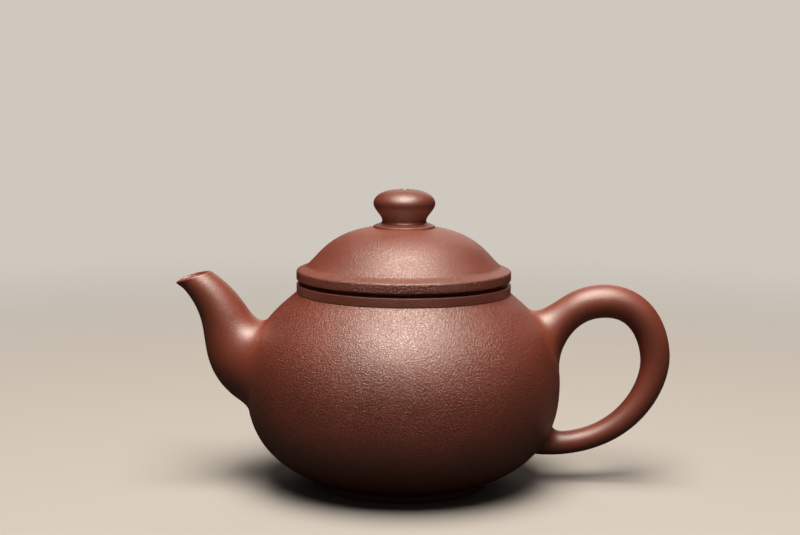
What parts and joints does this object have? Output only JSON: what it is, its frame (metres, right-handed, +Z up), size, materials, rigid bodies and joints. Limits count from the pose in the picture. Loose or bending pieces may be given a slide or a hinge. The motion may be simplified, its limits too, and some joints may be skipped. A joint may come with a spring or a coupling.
{
  "type": "clay teapot",
  "caption": "Small round-bellied stoneware teapot with a curved spout, loop handle and lift-off domed lid, for brewing and pouring tea.",
  "frame": {"origin": "the middle of the foot ring's flat underside, on the belly's upright axis", "axes": "+Z up, -X towards the spout, +X towards the handle, +Y away from the viewer who sees the spout on the left"},
  "size_m": [0.1385, 0.088, 0.0828],
  "materials": {
    "body_clay": "unglazed purple-brown clay with a fine wrinkled pear-skin grain, satin",
    "lid_clay": "unglazed purple-brown clay with a fine grain, satin",
    "ring_clay": "unglazed purple-brown clay, turned smooth, satin",
    "limb_clay": "unglazed purple-brown clay, burnished smooth, satin",
    "knob_clay": "unglazed purple-brown clay, burnished smooth, satin",
    "base_clay": "unglazed purple-brown clay, plain and matt"
  },
  "bodies": {
    "pot": {"belly": "body_clay", "base_disc": "base_clay", "foot_ring": "base_clay", "neck_ring": "ring_clay", "spout": "limb_clay", "strainer": "base_clay", "handle": "limb_clay"},
    "lid": {"lid_dome": "lid_clay", "lid_rim": "ring_clay", "lid_flange": "base_clay", "knob_collar": "knob_clay", "knob": "knob_clay"}
  },
  "joints": [
    {"name": "lid_lift", "type": "slide", "parent": "pot", "child": "lid", "axis": [0, 0, 1], "range_m": [0, 0.06]}
  ]
}
